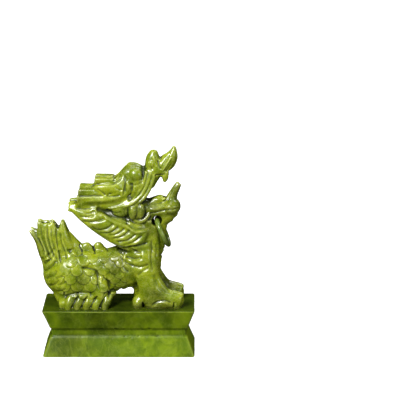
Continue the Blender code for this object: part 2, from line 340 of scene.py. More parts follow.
plinth = sawn_plinth()
fused(plinth, PLINTH_GRAIN)
links = neighbours(plinth.data)
points = polished(coordinates(plinth.data), links, PLINTH_POLISH)
place_coordinates(plinth.data, points)
height = points[:, 2] / MM
rim_heights = (0.0, WAIST_LOW / MM, WAIST_HIGH / MM, plinth_high.z / MM)
upright = np.abs(outward(plinth.data)[:, 2]) < 0.9
rim = sum(np.exp(-(((height - z) / RIM_REACH) ** 2)) for z in rim_heights) * upright
wave = 0.28 * unevenness(points, 19 * MM) + 0.1 * unevenness(points, 6 * MM, 4.0) - 0.1
chips = eased(unevenness(points, 3.4 * MM, 9.0), 0.25, 0.6) * np.clip(rim, 0, 1)
push = (wave - 0.35 * chips) * eased(height, 0.0, 1.0) * eased(plinth_high.z / MM - height, 0.0, 0.6) * MM
place_coordinates(plinth.data, points + outward(plinth.data) * push[:, None])
thinned(plinth, links, MOST_TRIANGLES)
# Painted shade and a painted dark reflection darken the whole top face.
painted_shade = plinth.data.attributes["painted_shade"].data
for i in np.flatnonzero(coordinates(plinth.data)[:, 2] > plinth_high.z - 0.4 * MM):
    painted_shade[i].value = TOP_SHADE
# Painted shade: the plinth's tones are a darker copy of the beast's jade, for the shade its faces lie in.
plinth_jade = jade(
    "plinth_jade",
    deep=seen(30, 42, 2),
    body=seen(84, 108, 6),
    light=seen(116, 138, 10),
    pale=seen(158, 172, 70),
    cloud=16 * MM,
    streak=0.6,
    roughness=0.34,
    gloss=0.13,
)
finish_stone(plinth, "stone", "plinth", plinth_jade)

# ---------------------------------------------------------------------------------------------------------
# Beast: one piece of the same jade as the plinth, whose darker tones are painted shade. It is roughed out
# with saws, and its limbs, locks and flames are ground round. Ribs, scales and lips are then cut in with
# small wheels, and the whole is waxed.

beast_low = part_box("beast")[0]
SEAT = Vector((beast_low.x + 85.09 * MM, 0, beast_low.z))
ROUGH_GRAIN = 0.8 * MM
FINE_GRAIN = 0.46 * MM
FACET_ROUNDS = 14
SOFT_ROUNDS = 46


def at(x, y, z):
    """A place on the beast: millimetres forward of its middle, to its left and above its soles."""
    return SEAT + Vector((x, y, z)) * MM


def curve_through(stations, steps):
    """More stations along a smooth curve through the given ones."""
    rows = np.array([stations[0], *stations, stations[-1]], float)
    t = np.arange(steps)[:, None] / steps
    parts = [
        0.5 * (2 * q + (r - p) * t + (2 * p - 5 * q + 4 * r - s) * t**2 + (3 * q - p - 3 * r + s) * t**3)
        for p, q, r, s in zip(rows, rows[1:], rows[2:], rows[3:])
    ]
    return np.vstack([*parts, rows[-1]])


def limb(bm, *stations, side=1, sides=20):
    """A closed limb or lock through stations of x, y, z, half height and half width."""
    line = curve_through(stations, 5)
    loops = []
    for i, (x, y, z, high, wide) in enumerate(line):
        before, after = line[max(i - 1, 0)], line[min(i + 1, len(line) - 1)]
        along = Vector(after[:3] - before[:3])
        along.y *= side
        along.normalize()
        up = along.cross(Vector((0, 1, 0))).normalized()
        turn = Matrix((up.cross(along) * wide, up * high, along)).transposed().to_4x4()
        place = Matrix.Translation(at(x, side * y, z)) @ turn
        ring = bmesh.ops.create_circle(bm, segments=sides, radius=MM, matrix=place)["verts"]
        loops.append(list({edge for vert in ring for edge in vert.link_edges}))
    for low, high in zip(loops, loops[1:]):
        bmesh.ops.bridge_loops(bm, edges=low + high)
    for end in (loops[0], loops[-1]):
        bmesh.ops.contextual_create(bm, geom=end)


def lump(bm, x, y, z, long, wide, high, tilt=0.0, side=1):
    """A rounded mass with half sizes along X, Y and Z, leaning by tilt degrees towards +X."""
    place = (
        Matrix.Translation(at(x, side * y, z))
        @ Matrix.Rotation(math.radians(tilt), 4, "Y")
        @ Matrix.Diagonal((long, wide, high, 1))
    )
    bmesh.ops.create_icosphere(bm, subdivisions=4, radius=MM, matrix=place)


def slab(bm, x, y, z, long, wide, high, tilt=0.0, side=1):
    """A blunt lock: a block with half sizes along X, Y and Z and ground edges."""
    place = (
        Matrix.Translation(at(x, side * y, z))
        @ Matrix.Rotation(math.radians(tilt), 4, "Y")
        @ Matrix.Diagonal((2 * long, 2 * wide, 2 * high, 1))
    )
    block = bmesh.ops.create_cube(bm, size=MM, matrix=place)["verts"]
    edges = list({edge for vert in block for edge in vert.link_edges})
    bmesh.ops.bevel(bm, geom=edges, offset=1.7 * MM, affect="EDGES", segments=3, profile=0.5, material=-1)


def both(make, bm, *drawn, **options):
    """The same form on the near and the far side."""
    for side in (-1, 1):
        make(bm, *drawn, side=side, **options)


def saw_through(bm, *outline):
    """A cutter right across the beast, with this outline of x and z."""
    corners = [bm.verts.new(at(x, -40, z)) for x, z in outline]
    blank = bm.faces.new(corners)
    made = bmesh.ops.extrude_face_region(bm, geom=[blank])["geom"]
    bmesh.ops.translate(
        bm, vec=(0, 80 * MM, 0), verts=[part for part in made if isinstance(part, bmesh.types.BMVert)]
    )
    bmesh.ops.recalc_face_normals(bm, faces=bm.faces)


def rough_beast():
    """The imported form, sawn open at jaw and belly and sloped at the nape, with its facets ground away."""
    bm = bmesh.new()
    bm.from_mesh(frame["nodes"]["beast"].data)
    bmesh.ops.remove_doubles(bm, verts=bm.verts, dist=1e-7)
    obj = stone_object("beast_stone", bm)
    bm = bmesh.new()
    saw_through(bm, (24.4, 101.9), (27.2, 107.6), (30.4, 113.8), (36.5, 113.8), (36.5, 105.6), (30, 102.8))
    saw_through(bm, (-6, 120.6), (9.8, 136.8), (6, 147), (-14, 140), (-14, 124.9), (-6, 124.9))
    saw_through(bm, (-9, 8.6), (-5.6, 12.2), (2, 14.6), (8, 17), (12, 15.4), (13, 10), (11, 5))
    cutter = stone_object("saw_cuts", bm)
    sawn = obj.modifiers.new("sawn", "BOOLEAN")
    sawn.object = cutter
    settle_modifiers(obj)
    bpy.data.objects.remove(cutter)
    fused(obj, ROUGH_GRAIN)
    links = neighbours(obj.data)
    points = polished(coordinates(obj.data), links, FACET_ROUNDS, back=0.5)
    height = (points[:, 2] - SEAT.z) / MM
    # The feet are softened fully and the throat by half.
    throat = eased(points[:, 0] - SEAT.x, 38 * MM, 42 * MM) * eased(height, 46, 54)
    throat *= 1 - eased(height, 92, 96)
    softness = np.maximum(1 - eased(height, 15, 22), 0.5 * throat)
    give = (polished(points, links, SOFT_ROUNDS) - points) * softness[:, None]
    give[:, 2] *= eased(height, 1.5, 6)
    place_coordinates(obj.data, points + give)
    return obj


def add_head_forms(bm):
    # Snout leaf, nose, upper lip with its fang lobe, and the tongue that curls up in front.
    limb(
        bm, (40, 0, 132.5, 6.6, 7), (46, 0, 138.4, 8, 6.6), (50.2, 0, 144, 6, 4.8),
        (52.2, 0, 149.6, 3, 3), (52.6, 0, 153, 1.2, 1.4),
    )
    limb(
        bm, (31.5, 0, 132, 6.6, 7.5), (32.4, 0, 141, 6.3, 6), (34, 0, 147.4, 3.4, 3.6),
        (34.4, 0, 149.6, 1.4, 1.6),
    )
    both(limb, bm, (43, 5, 130, 4.2, 2.8), (44, 5.2, 124.5, 3.3, 2.4), (43.2, 5, 120.2, 1.5, 1.4))
    limb(
        bm, (48.5, 0, 98, 7, 6.5), (51, 0, 106.5, 4.6, 4.6), (54.4, 0, 113, 3.4, 3.2),
        (56.9, 0, 117.2, 2.2, 2.2),
    )
    both(lump, bm, 37, 3.5, 102.4, 2.8, 2.4, 1.6)
    both(lump, bm, 42.4, 3.2, 103, 2.4, 2.4, 1.6)
    # Round chin under the lip line.
    lump(bm, 49.2, 0, 95.2, 9.2, 11.6, 8.6, tilt=-12)
    lump(bm, 45.4, 0, 91.8, 9.6, 9.4, 5.2, tilt=-14)
    # Eyes under their brows, and the small horns before them.
    both(lump, bm, 16.2, 8.2, 126.8, 7, 5, 6.8)
    both(lump, bm, 30.6, 6.6, 137.6, 2.6, 1.9, 3.6, tilt=-20)
    # Three ridges of lip that sweep back from the upper jaw over the cheek.
    both(
        limb, bm, (26.4, 8.2, 131, 1.4, 1.4), (24, 9.8, 121, 1.9, 1.8), (20.5, 11.4, 114, 1.9, 1.9),
        (15, 12.4, 106.7, 1.9, 1.9), (8, 13.6, 101.7, 1.7, 1.8), (1, 14.2, 99, 1.5, 1.6),
        (-9, 14, 96.4, 0.7, 0.8),
    )
    both(
        limb, bm, (30.4, 8, 130, 1.5, 1.5), (28, 9.4, 121, 1.9, 1.9), (24.5, 11, 113, 1.9, 1.9),
        (19, 12.6, 106, 1.9, 1.9), (12, 13.8, 101, 1.7, 1.8), (4, 14.4, 98, 1, 1),
    )
    both(
        limb, bm, (34.2, 7.6, 128.6, 1.5, 1.5), (31.4, 8.8, 119.5, 1.9, 1.8), (28, 10.2, 112, 1.9, 1.9),
        (23, 12.2, 105, 1.8, 1.9), (17, 13.6, 100.6, 0.9, 1),
    )
    # Cheek ovals and the curl below them.
    both(lump, bm, 13.3, 13.4, 92.3, 3.8, 3.6, 6.9)
    both(lump, bm, 21.2, 12.9, 93.4, 3.6, 3.6, 7.5, tilt=4)
    both(
        limb, bm, (13, 12.8, 86, 1.4, 1.2), (18.4, 12.8, 83.4, 2.0, 1.8), (23.4, 12.2, 84.4, 2.2, 2),
        (27.6, 10.8, 88.4, 2, 1.8), (29.4, 10, 92.4, 1, 1),
    )
    # The stone left between the hole's rim and the ring: a round bead spun about the hole's middle.
    hole_x, hole_z = 35.8, 82.8
    wire_room = 2.85
    bead_radius = 1.5
    bead_place = Matrix.Translation(at(hole_x - wire_room - bead_radius, 0, hole_z))
    bead = bmesh.ops.create_circle(bm, segments=12, radius=bead_radius * MM, matrix=bead_place)["verts"]
    edges = list({edge for vert in bead for edge in vert.link_edges})
    bmesh.ops.spin(
        bm, geom=bead + edges, cent=at(hole_x, 0, hole_z), axis=(0, 1, 0), angle=2 * math.pi, steps=36,
        use_merge=True,
    )


def add_mane_forms(bm):
    # Blunt locks in steps behind the brow, and the pointed ones under them.
    slab(bm, -13.6, 0, 121.2, 8.4, 3.4, 2.6, tilt=1.5)
    slab(bm, -25.4, 0, 110.6, 11.4, 4.6, 3, tilt=1.5)
    both(slab, bm, -13.2, 6.4, 121.6, 9.2, 4.6, 3, tilt=1.5)
    both(slab, bm, -25.2, 8.2, 111.2, 12.2, 5.0, 3.2, tilt=1.5)
    both(slab, bm, -26.4, 9.8, 105.2, 12.6, 4.8, 3.4, tilt=1)
    both(
        limb, bm, (-22, 7, 98.4, 3.2, 4), (-34, 6.4, 99.2, 2.8, 3.6), (-43.6, 5.8, 99.6, 2.2, 2.8),
        (-47.2, 5.6, 99.8, 1.2, 1.6),
    )
    both(limb, bm, (-26, 11.6, 92.4, 3.6, 3), (-38, 12, 93.4, 2.6, 2.4), (-47.6, 12, 94.4, 0.8, 0.9))
    both(lump, bm, -8.6, 10.4, 114.6, 15.6, 4.8, 6.2, tilt=1)
    both(lump, bm, -10, 10, 100.4, 18, 3.8, 6, tilt=-3)
    both(lump, bm, 3, 11, 94, 10, 4.2, 7)
    # Two upright lobes between the eye and the lips.
    both(lump, bm, 12, 9.6, 110, 6.6, 4.4, 6.4)
    both(lump, bm, 9.4, 10.4, 116.4, 3.1, 3.2, 8)
    both(lump, bm, 15.8, 10.4, 114.4, 3.6, 3.2, 7.6, tilt=8)


def add_body_forms(bm):
    # Fins on the back, two rounded lobes.
    limb(bm, (-19.4, 0, 50, 6, 4.2), (-19.8, 0, 56, 5.2, 3.6), (-20, 0, 59.4, 2.6, 2.2))
    limb(bm, (-31, 0, 50, 5.4, 4.2), (-31.6, 0, 56, 4.8, 3.6), (-32, 0, 59, 2.4, 2.2))
    # Toes: rounded ends on the front paws, heel pads, and a row along each hind foot.
    both(lump, bm, 52, 13.6, 6.4, 9.6, 8.2, 8.2)
    both(lump, bm, 17.6, 14, 4, 5.4, 7, 6)
    both(lump, bm, 38, 14, 3.6, 16, 7.8, 5.4)
    for x in (-48.4, -39.6, -31, -21.8, -13.6):
        both(
            limb, bm, (x + 7, 8, 12, 3, 4.2), (x + 3.6, 14, 10.4, 4.2, 4.6), (x + 1, 17.6, 5.4, 4.6, 4.6),
            (x, 18.6, 1, 3.6, 4.4), (x, 18.8, -2.4, 3.4, 4.4),
        )
    both(lump, bm, -33, 12, 10.6, 20, 8.6, 5.8)


def add_tail_forms(bm):
    # The root's swelling, and flames that end in free tips.
    both(lump, bm, -47, 6, 46.6, 9, 7, 6.4, tilt=-30)
    limb(bm, (-62, 0, 48, 7, 7), (-68, 0, 62, 6, 5.6), (-72, 0, 72, 3.4, 3.4), (-75, 0, 78, 1, 1.2))
    limb(bm, (-54, 0, 48, 7, 7), (-57.6, 0, 61, 5.6, 5), (-60, 0, 71, 3.6, 3.4), (-60.8, 0, 78, 1, 1.2))
    both(
        limb, bm, (-66, 6, 46, 6, 6), (-71, 6.2, 58, 5.6, 4.6), (-76.4, 6.4, 65.6, 4, 3.4),
        (-81.6, 6.2, 70, 2.4, 2.4), (-84.6, 6, 72.8, 0.8, 1),
    )
    both(
        limb, bm, (-65, 6, 52, 5.6, 5.6), (-70, 6, 64, 5.4, 4.4), (-73.6, 5.6, 73, 3.6, 3),
        (-76.4, 5, 81.2, 0.8, 1.0),
    )
    both(
        limb, bm, (-62, 6, 54, 5, 5.6), (-66.4, 5.8, 66, 4.2, 4.2), (-68.6, 5.2, 74, 3.2, 3),
        (-70.4, 4.8, 79.8, 1.2, 1.4),
    )
    both(
        limb, bm, (-58, 6, 54, 5, 5.6), (-61.4, 5.8, 66, 4.4, 4.2), (-62.6, 5.2, 75, 3.2, 3),
        (-63.4, 4.6, 81, 0.9, 1.2),
    )
    both(
        limb, bm, (-49, 6, 50, 5.4, 5.4), (-53.2, 5.2, 62, 4.4, 4), (-54.2, 4.4, 72, 3.2, 2.8),
        (-53.8, 3.8, 81.6, 0.8, 1.0),
    )
    both(
        limb, bm, (-41, 4.6, 47, 4.4, 5), (-46.8, 4.6, 56, 3.6, 3.6), (-51, 3.8, 66, 2.4, 2.4),
        (-53, 3.4, 74, 1.4, 1.4),
    )


def stacked(obj, *makers):
    """Adds the makers' forms to the object and fuses them into one skin."""
    bm = bmesh.new()
    for make in makers:
        make(bm)
    bmesh.ops.recalc_face_normals(bm, faces=bm.faces)
    bm.from_mesh(obj.data)
    bm.to_mesh(obj.data)
    bm.free()
    fused(obj, FINE_GRAIN)


class Pattern:
    """Heights in mm drawn on a flat sheet, which is then laid on the stone from one direction."""

    CELL = 0.25

    def __init__(self, low, high):
        self.low = np.array(low, float)
        self.shape = np.ceil((np.array(high) - self.low) / self.CELL).astype(int) + 1
        self.heights = np.zeros(self.shape)

    def stroke(self, wide, height, points, form):
        """A tapering stroke along a smooth curve: form turns the share of its half width into height."""
        line = curve_through(points, 12)
        low = np.floor((line.min(0) - wide - self.low) / self.CELL).astype(int).clip(0, self.shape - 1)
        high = np.ceil((line.max(0) + wide - self.low) / self.CELL).astype(int).clip(1, self.shape)
        u = (np.arange(low[0], high[0]) * self.CELL + self.low[0])[:, None, None]
        v = (np.arange(low[1], high[1]) * self.CELL + self.low[1])[None, :, None]
        off = np.hypot(u - line[:, 0], v - line[:, 1])
        nearest = off.argmin(-1)
        share = np.clip(off.min(-1) / wide, 0, 1)
        along = nearest / (len(line) - 1)
        taper = eased(along, -0.02, 0.14) * eased(1 - along, -0.02, 0.14)
        self.heights[low[0] : high[0], low[1] : high[1]] += height * taper * form(share)

    def groove(self, wide, deep, *points):
        """A cut that is sharp at the bottom and rounds over at its sides."""
        self.stroke(wide, -deep, points, lambda share: (1 - share) ** 2)

    def hollow(self, wide, deep, *points):
        """A wide soft trough."""
        self.stroke(wide, -deep, points, lambda share: (1 - share**2) ** 2)

    def bead(self, wide, high, *points):
        """A rounded ridge."""
        self.stroke(wide, high, points, lambda share: (1 - share**2) ** 1.5)

    def at(self, u, v):
        """The drawn height at each place."""
        i = np.clip((u - self.low[0]) / self.CELL, 0, self.shape[0] - 1.001)
        j = np.clip((v - self.low[1]) / self.CELL, 0, self.shape[1] - 1.001)
        a, b = i.astype(int), j.astype(int)
        s, t = i - a, j - b
        h = self.heights
        behind = (1 - t) * h[a, b] + t * h[a, b + 1]
        ahead = (1 - t) * h[a + 1, b] + t * h[a + 1, b + 1]
        return (1 - s) * behind + s * ahead


def facing_out(u, v, depth, reach):
    """1 where a point is the nearest to the eye along its sight line, and 0 well behind another."""
    cell = 0.9
    a = ((u - u.min()) / cell).astype(int)
    b = ((v - v.min()) / cell).astype(int)
    front = np.full((a.max() + 1, b.max() + 1), -1e9)
    np.maximum.at(front, (a, b), depth)
    return 1 - eased(front[a, b] - depth, reach, reach + 1.5)


def side_pattern():
    """What is cut into the beast's flanks: x forward, z above the soles."""
    drawn = Pattern((-90, -3), (72, 160))
    groove, bead = drawn.groove, drawn.bead
    # Wing ribs, from the tip forward, then the step of the wing's two borders.
    groove(3.0, 1.3, (-37, 89), (-31, 89), (-26, 90), (-22, 91.4))
    groove(3.2, 1.6, (-34.6, 84.2), (-25.2, 84.5), (-17.7, 86.2), (-12.2, 88.6))
    groove(3.2, 1.7, (-26, 79.4), (-20.4, 76.6), (-13.3, 77.5), (-7.9, 80.3), (-4.2, 84))
    groove(2.8, 1.6, (-18.4, 73.6), (-9.5, 73.8), (-3.6, 76.9), (0.6, 80.6))
    groove(2.4, 1.4, (-10, 71.8), (-2, 73), (3.2, 76.2), (6, 79))
    groove(2.4, 1.5, (-6, 68.6), (2.9, 70.6), (8.3, 74.4), (11.2, 77.2))
    groove(2.4, 1.5, (-2, 65.2), (7.3, 66.6), (12.7, 69.8), (17, 73.2))
    groove(2.6, 1.5, (4, 62), (12.1, 64), (17.5, 67.2), (23, 71.6))
    groove(2.4, 1.3, (-31, 92.4), (-25.6, 93), (-21.6, 94.8))
    bead(
        2.2, 0.9, (-20.9, 94.6), (-13.3, 89.8), (-6.8, 85.9), (1.3, 82.5), (7.3, 80.3), (13.8, 75.8),
        (18.6, 74.6), (27.3, 75),
    )
    groove(
        2.6, 1.2, (-15, 94), (-11, 91.6), (-5.6, 88.8), (2.3, 85.4), (8.6, 83), (14.6, 78.6), (20, 77.2),
        (28, 77.4),
    )
    groove(
        3.0, 2.2, (-12.6, 62.8), (-5.7, 61), (1.3, 58.8), (6.7, 58.6), (10.4, 60), (17.5, 60.6), (23, 62),
        (30, 64.6),
    )
    bead(2.4, 0.8, (-9.6, 66.4), (-4.7, 64.6), (1.3, 62.6), (7.7, 62.2), (17.5, 65), (23, 67))
    # Upper mane lobes between the wing and the lips.
    groove(2.6, 1.0, (-12, 95), (-7, 93), (-2, 92), (3.4, 93.6))
    groove(2.6, 0.9, (4.6, 97), (6.6, 92), (7.6, 86.4), (9.4, 82))
    # Hollow under the blunt locks.
    drawn.hollow(
        5.6, 2.7, (-34, 99), (-24, 99.2), (-14.7, 99.4), (-3, 101.2), (5, 104.2), (10.4, 107.6),
        (15.4, 113),
    )
    # Locks: the lines that part them and the strands on them.
    groove(1.8, 1.2, (-37.4, 108.4), (-30, 108.6), (-22, 108.9), (-14, 108.8))
    groove(1.8, 1.2, (-22.6, 119.4), (-14, 119.6), (-6, 119.8), (-1, 121.4), (3, 125))
    groove(1.8, 1.1, (-20, 115.4), (-15.4, 112.6), (-11.6, 109.4))
    groove(1.8, 1.1, (-5.4, 111.6), (-10.2, 109), (-4, 108.4), (3, 109.4))
    groove(1.6, 0.8, (-2.6, 117.4), (1.4, 114.4), (4.6, 115))
    groove(1.8, 1.0, (-40, 96.8), (-32, 96.2), (-25, 96.4))
    groove(2.2, 1.5, (6.2, 128.4), (6.5, 121.4), (6.2, 115.6), (5, 108.4))
    groove(2.0, 1.5, (12.9, 121.6), (13, 116), (11.9, 110.6), (10, 107))
    groove(1.6, 1.1, (2.6, 128), (-1, 124.6), (-5, 122.2))
    groove(1.4, 0.9, (0.4, 131), (-3.6, 127.2), (-7.6, 124.8))
    # Ring round the eye, and the brow fold before it.
    groove(2.4, 0.8, (22.8, 122.4), (18.6, 119.4), (12, 119.6), (8.2, 124.2), (9.4, 130.6))
    groove(2.4, 0.8, (24.2, 135), (23.2, 130), (23.4, 125.6))
    # Snout leaf: the midrib with a cut on both sides, the crease behind it and the nostril.
    bead(1.4, 0.9, (40.6, 129.6), (44, 135.4), (47.4, 140.6), (50, 144.6))
    groove(1.4, 0.9, (39.4, 132), (42, 137.4), (45.4, 142.6), (48.6, 148))
    groove(1.4, 0.9, (43.4, 128.6), (46.8, 133), (49.6, 137))
    groove(1.8, 1.5, (37.2, 141), (38, 136.6), (40, 133))
    bead(1.8, 0.8, (33, 145.4), (33.8, 139.6), (36, 134.4))
    groove(1.6, 0.7, (30, 142), (30.4, 136.6), (32.4, 132.4))
    groove(2.0, 1.2, (34, 127.4), (39, 127), (44, 128.2))
    # Lower jaw: the lip line, the chin's curl and the corner of the mouth.
    groove(1.7, 1.4, (28.8, 91), (33.6, 91.2), (39, 92.4), (46.6, 94.2), (57, 95.4))
    bead(1.8, 0.7, (30, 94.6), (36, 95), (42, 96.6), (50, 98))
    groove(1.6, 1.1, (26.6, 98.4), (31, 99.4), (36, 99.4), (42, 100.4))
    groove(1.8, 1.4, (22.8, 101.4), (25.4, 103.4), (28, 106))
    groove(1.4, 0.9, (46.4, 101), (47.6, 106), (50.4, 111.4))
    groove(1.4, 1.1, (9.4, 98), (8.8, 92.4), (9.8, 87.6), (12.6, 84.4))
    groove(1.3, 1.2, (17.1, 99), (17.6, 93), (16.6, 87.2))
    groove(1.3, 1.1, (25.2, 99), (25.8, 94), (24.2, 88.8), (20.4, 86.2))
    # Shoulder and leg folds.
    groove(3.0, 1.4, (9, 59.8), (15, 55.6), (21.6, 54))
    groove(3.6, 1.9, (6, 50), (14.2, 48.4), (22.4, 51))
    groove(3.8, 1.9, (4.6, 46), (12, 41.6), (20.7, 40.7), (29.6, 44))
    groove(3.2, 1.3, (17, 31.6), (22.3, 36.6), (29, 40.6))
    groove(3.4, 1.5, (31, 66), (31.4, 56), (31.2, 46), (32.6, 36))
    groove(2.6, 0.9, (35.4, 62), (35.8, 55), (35.4, 48))
    groove(3.2, 1.5, (4.6, 53), (3, 47), (4.8, 40), (9.6, 34))
    groove(3.6, 1.3, (33.6, 34), (36.6, 24), (42.6, 17.4), (50, 14.6))
    bead(3.2, 0.7, (29.6, 30), (33, 20.6), (39.6, 14.6), (46, 12.2))
    # Paws.
    groove(2.4, 1.5, (30.4, 1), (33.6, 5.6), (39.6, 8), (45, 8), (50, 5.6))
    groove(1.8, 1.8, (23.6, -2), (22.8, 3), (22.4, 6.4))
    groove(1.6, 2.0, (51.4, -2), (51.8, 3), (52.2, 7))
    for x in (-44, -35.3, -26.4, -17.7):
        groove(1.7, 2.2, (x - 0.6, -2), (x + 0.2, 3), (x + 2.4, 8), (x + 6.4, 13))
    groove(3.2, 1.1, (-52, 11.2), (-44, 14), (-34, 15.6), (-24, 15))
    # Haunch crease and the slits between the fins.
    groove(3.2, 2.6, (-36, 39.6), (-29, 39.2), (-22.6, 36.6), (-19.6, 31), (-19.4, 23.6), (-18, 17))
    groove(2.6, 1.6, (-12.6, 30), (-9.6, 24), (-9, 17), (-9.4, 9))
    for x, z in ((-37.4, 59), (-25.4, 58), (-13.6, 60)):
        groove(1.5, 2.6, (x, z), (x + 1.2, z - 3.6), (x + 2.8, z - 7.4))
    # Tail: partings that run from the root to the tips, and short licks on the root.
    groove(2.6, 1.6, (-79, 71.6), (-75.4, 64), (-72.2, 56), (-71.4, 48))
    groove(2.6, 1.8, (-73.6, 79), (-72.6, 69), (-69.4, 58), (-66.6, 50), (-64, 44))
    groove(2.6, 1.6, (-67.2, 78.4), (-67, 69), (-64.8, 58), (-61.6, 50), (-59, 45))
    groove(2.8, 2.0, (-58.6, 76), (-58.4, 66), (-57, 56), (-55.6, 49), (-56, 42))
    groove(2.0, 1.3, (-76, 67), (-73.2, 60), (-70.6, 52))
    groove(2.0, 1.3, (-70.8, 75), (-70, 65), (-67, 55), (-65.2, 46))
    groove(2.0, 1.3, (-63.6, 78), (-63.2, 67), (-61, 57), (-58.8, 48), (-58.6, 38))
    groove(1.8, 1.1, (-61, 70), (-60.6, 62), (-58.6, 53))
    groove(2.4, 1.6, (-55.4, 72), (-54.4, 62), (-51.6, 54), (-49.6, 46))
    groove(2.0, 1.0, (-52.4, 67), (-49.4, 58), (-45.8, 51.6))
    licks = ((-67, 49.6, 1.0), (-67.6, 43.2, 1.15), (-67, 36.2, 1.25), (-65.6, 28.6, 1.1), (-63, 21, 1.0))
    for x, z, size in licks:
        groove(
            3.2, 1.3, (x - 4.6 * size, z - 3.4 * size), (x, z), (x + 3.8 * size, z + 3.4 * size),
            (x + 6 * size, z + 7.4 * size),
        )
    for x, z in ((-55, 33), (-53.4, 26), (-54.4, 18.6)):
        groove(2.8, 1.1, (x - 5.4, z - 4.4), (x, z - 2), (x + 4.4, z + 1.4))
    return drawn


def top_pattern():
    """What is cut in from above: x forward, y to the left."""
    drawn = Pattern((-90, -30), (72, 30))
    for side in (-1, 1):
        drawn.groove(2.2, 1.5, (-36, 1.4 * side), (-22, 1.8 * side), (-8, 2.2 * side), (4, 2.6 * side))
        drawn.groove(2.0, 1.2, (-38, 5.6 * side), (-28, 5.4 * side), (-21, 5.2 * side))
        drawn.groove(1.8, 1.1, (-20, 7 * side), (-10, 6.8 * side), (0, 6.2 * side), (6, 5 * side))
        drawn.groove(1.6, 0.9, (-18, 4.2 * side), (-8, 4.2 * side), (2, 4.4 * side))
        drawn.groove(1.8, 1.0, (8, 5 * side), (16, 5.4 * side), (23, 4 * side))
        drawn.groove(1.6, 1.0, (39, 3.4 * side), (44, 3.2 * side), (48, 1.8 * side))
        for y in (9.8, 14.6, 19):
            drawn.groove(1.6, 1.5, (60, y * side), (55, y * side), (50.5, y * side))
        for y in (2.6, 6.4, 10):
            drawn.groove(1.8, 1.1, (-46, 0.5 * y * side), (-56, 0.8 * y * side), (-68, y * side))
    drawn.bead(2.4, 1.0, (-12, 0), (-6, 0), (2, 0), (10, 0))
    drawn.bead(2.2, 0.9, (8, 0), (18, 0), (26, 0))
    return drawn


def front_pattern():
    """What is cut into the breast, the brow and the tail's back: y to the left, z above the soles."""
    drawn = Pattern((-30, -3), (30, 160))
    for z in (36, 42, 48, 54, 60, 66, 72):
        drawn.groove(2.4, 1.4, (-8.4, z + 1.6), (-4, z), (0, z - 0.8), (4, z), (8.4, z + 1.6))
    for side in (-1, 1):
        drawn.groove(1.5, 1.1, (2.6 * side, 152), (3 * side, 144), (3.4 * side, 136))
        drawn.groove(1.4, 1.3, (4 * side, 131), (5 * side, 128), (4.2 * side, 125))
        drawn.groove(1.6, 1.2, (1.6 * side, 114), (2.6 * side, 106), (4 * side, 99))
        for y in (9.8, 14.6, 19):
            drawn.groove(1.6, 1.6, (y * side, -2), (y * side, 5), (y * side, 11))
    return drawn


def back_pattern():
    """The tail's back: partings that run from its root to its tips."""
    drawn = Pattern((-30, -3), (30, 160))
    for y in (-9, -5.6, -1.8, 1.8, 5.6, 9):
        drawn.groove(2.4, 1.6, (0.75 * y, 18), (1.05 * y, 32), (0.9 * y, 50), (1.05 * y, 64), (0.8 * y, 78))
    for y in (-7.2, -3.6, 0, 3.6, 7.2):
        drawn.groove(1.6, 0.9, (0.9 * y, 28), (1.05 * y, 42), (0.95 * y, 60), (0.9 * y, 72))
    return drawn


def scale_centres(tree):
    """Where scales lie, as place, outward and downward directions and size, in rows like roof tiles."""
    found = []

    def lay(start, ray, size):
        hit, normal, _, _ = tree.ray_cast(start - ray * 60 * MM, ray)
        if hit is None:
            return
        down = Vector((-1, 0, -0.1)) if normal.z > 0.9 else Vector((-0.3, 0, -1))
        found.append((hit, normal, (down - normal * down.dot(normal)).normalized(), size))

    for row, angle in enumerate(range(-56, 92, 18)):
        lean = math.radians(angle)
        for i in range(8):
            x = -56 + 10.4 * (i + 0.5 * (row % 2))
            for side in (-1, 1):
                if x > -21 or angle > 50:
                    ray = Vector((0, -side * math.cos(lean), -math.sin(lean)))
                    lay(at(x, 0, 31 + 0.12 * max(0, x + 20)), ray, 1.05)
    for row, z in enumerate((45, 37.2, 29.4, 21.6, 14)):
        for i in range(4):
            for side in (-1, 1):
                lay(at(-58 + 12.4 * (i + 0.5 * (row % 2)), 0, z), Vector((0, -side, 0)), 1.24)
    return found


def scale_relief(points, tree):
    """Scales that overlap downwards: each rises to a free rounded edge and steps down behind it, in mm."""
    near = KDTree(len(points))
    for i, point in enumerate(points):
        near.insert(point, i)
    near.balance()
    top = np.zeros(len(points))
    rim = np.zeros(len(points))
    for place, normal, down, size in scale_centres(tree):
        which = np.array([i for _, i, _ in near.find_range(place, 9.4 * MM * size)], int)
        if not len(which):
            continue
        off = (points[which] - np.array(place)) / (MM * size)
        u, v, w = off @ np.array(down), off @ np.array(normal.cross(down)), off @ np.array(normal)
        round_edge = (1 - np.hypot(v / 5.3, (u + 0.6) / 5.6)) * 5.3
        edge = np.where(u < -0.6, 5.3 - np.abs(v), round_edge)
        ramp = 0.2 + 1.3 * eased(u, -7.0, 4.6)
        height = ramp * eased(edge, 0.0, 0.7) * (np.abs(w) < 5)
        over = height > top[which]
        rim[which] = np.where(over, np.exp(-((edge / 0.75) ** 2)), np.maximum(rim[which], 0))
        top[which] = np.where(over, height, top[which])
    return top - 0.75 * rim - 0.6


